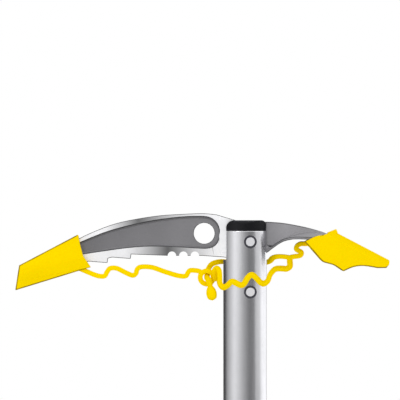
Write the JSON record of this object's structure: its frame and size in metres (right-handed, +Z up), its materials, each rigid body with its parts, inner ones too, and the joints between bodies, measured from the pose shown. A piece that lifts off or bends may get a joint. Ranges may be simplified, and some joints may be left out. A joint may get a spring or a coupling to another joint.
{
  "type": "ice axe",
  "caption": "Walking ice axe with a forged pick and adze, a slotted oval shaft and a spike, wearing a stretched rubber guard on pick and adze",
  "frame": {"origin": "the tip of the spike, on the axis of the shaft", "axes": "+Z runs up the shaft to the head, -X is the way the pick points, +X the adze, Y runs across the head's flat faces"},
  "size_m": [0.2809, 0.059, 0.5352],
  "materials": {
    "shaft": "anodised, satin",
    "head": "hot forged, ground borders and a darker forged panel",
    "cap": "moulded",
    "packing": "moulded",
    "rivets": "satin",
    "washers": "dark",
    "spike": "forged and ground",
    "rubber": "moulded, satin"
  },
  "bodies": {
    "axe": {"shaft_tube": "shaft", "head": "head", "shaft_cap": "cap", "front_packing": "packing", "rear_packing": "packing", "head_rivets": "rivets", "rivet_washers": "washers", "spike": "spike", "spike_plug": "packing", "spike_rivets": "rivets", "loop_strap": "rubber", "tail_strand": "rubber", "pick_link": "rubber", "adze_link": "rubber"},
    "pick_cover": {"pick_cover": "rubber"},
    "adze_cover": {"adze_cover": "rubber"},
    "toggle": {"toggle": "rubber"}
  },
  "joints": [
    {"name": "pick_cover_slide", "type": "slide", "parent": "axe", "child": "pick_cover", "axis": [-0.9135, 0, -0.4067], "range_m": [0, 0.06], "deforming": ["pick_link"]},
    {"name": "adze_cover_slide", "type": "slide", "parent": "axe", "child": "adze_cover", "axis": [0.8949, 0, -0.4462], "range_m": [0, 0.06], "deforming": ["adze_link"]},
    {"name": "toggle_pull", "type": "slide", "parent": "axe", "child": "toggle", "axis": [0.1736, 0, -0.9848], "range_m": [0, 0.012], "deforming": ["tail_strand"]}
  ]
}
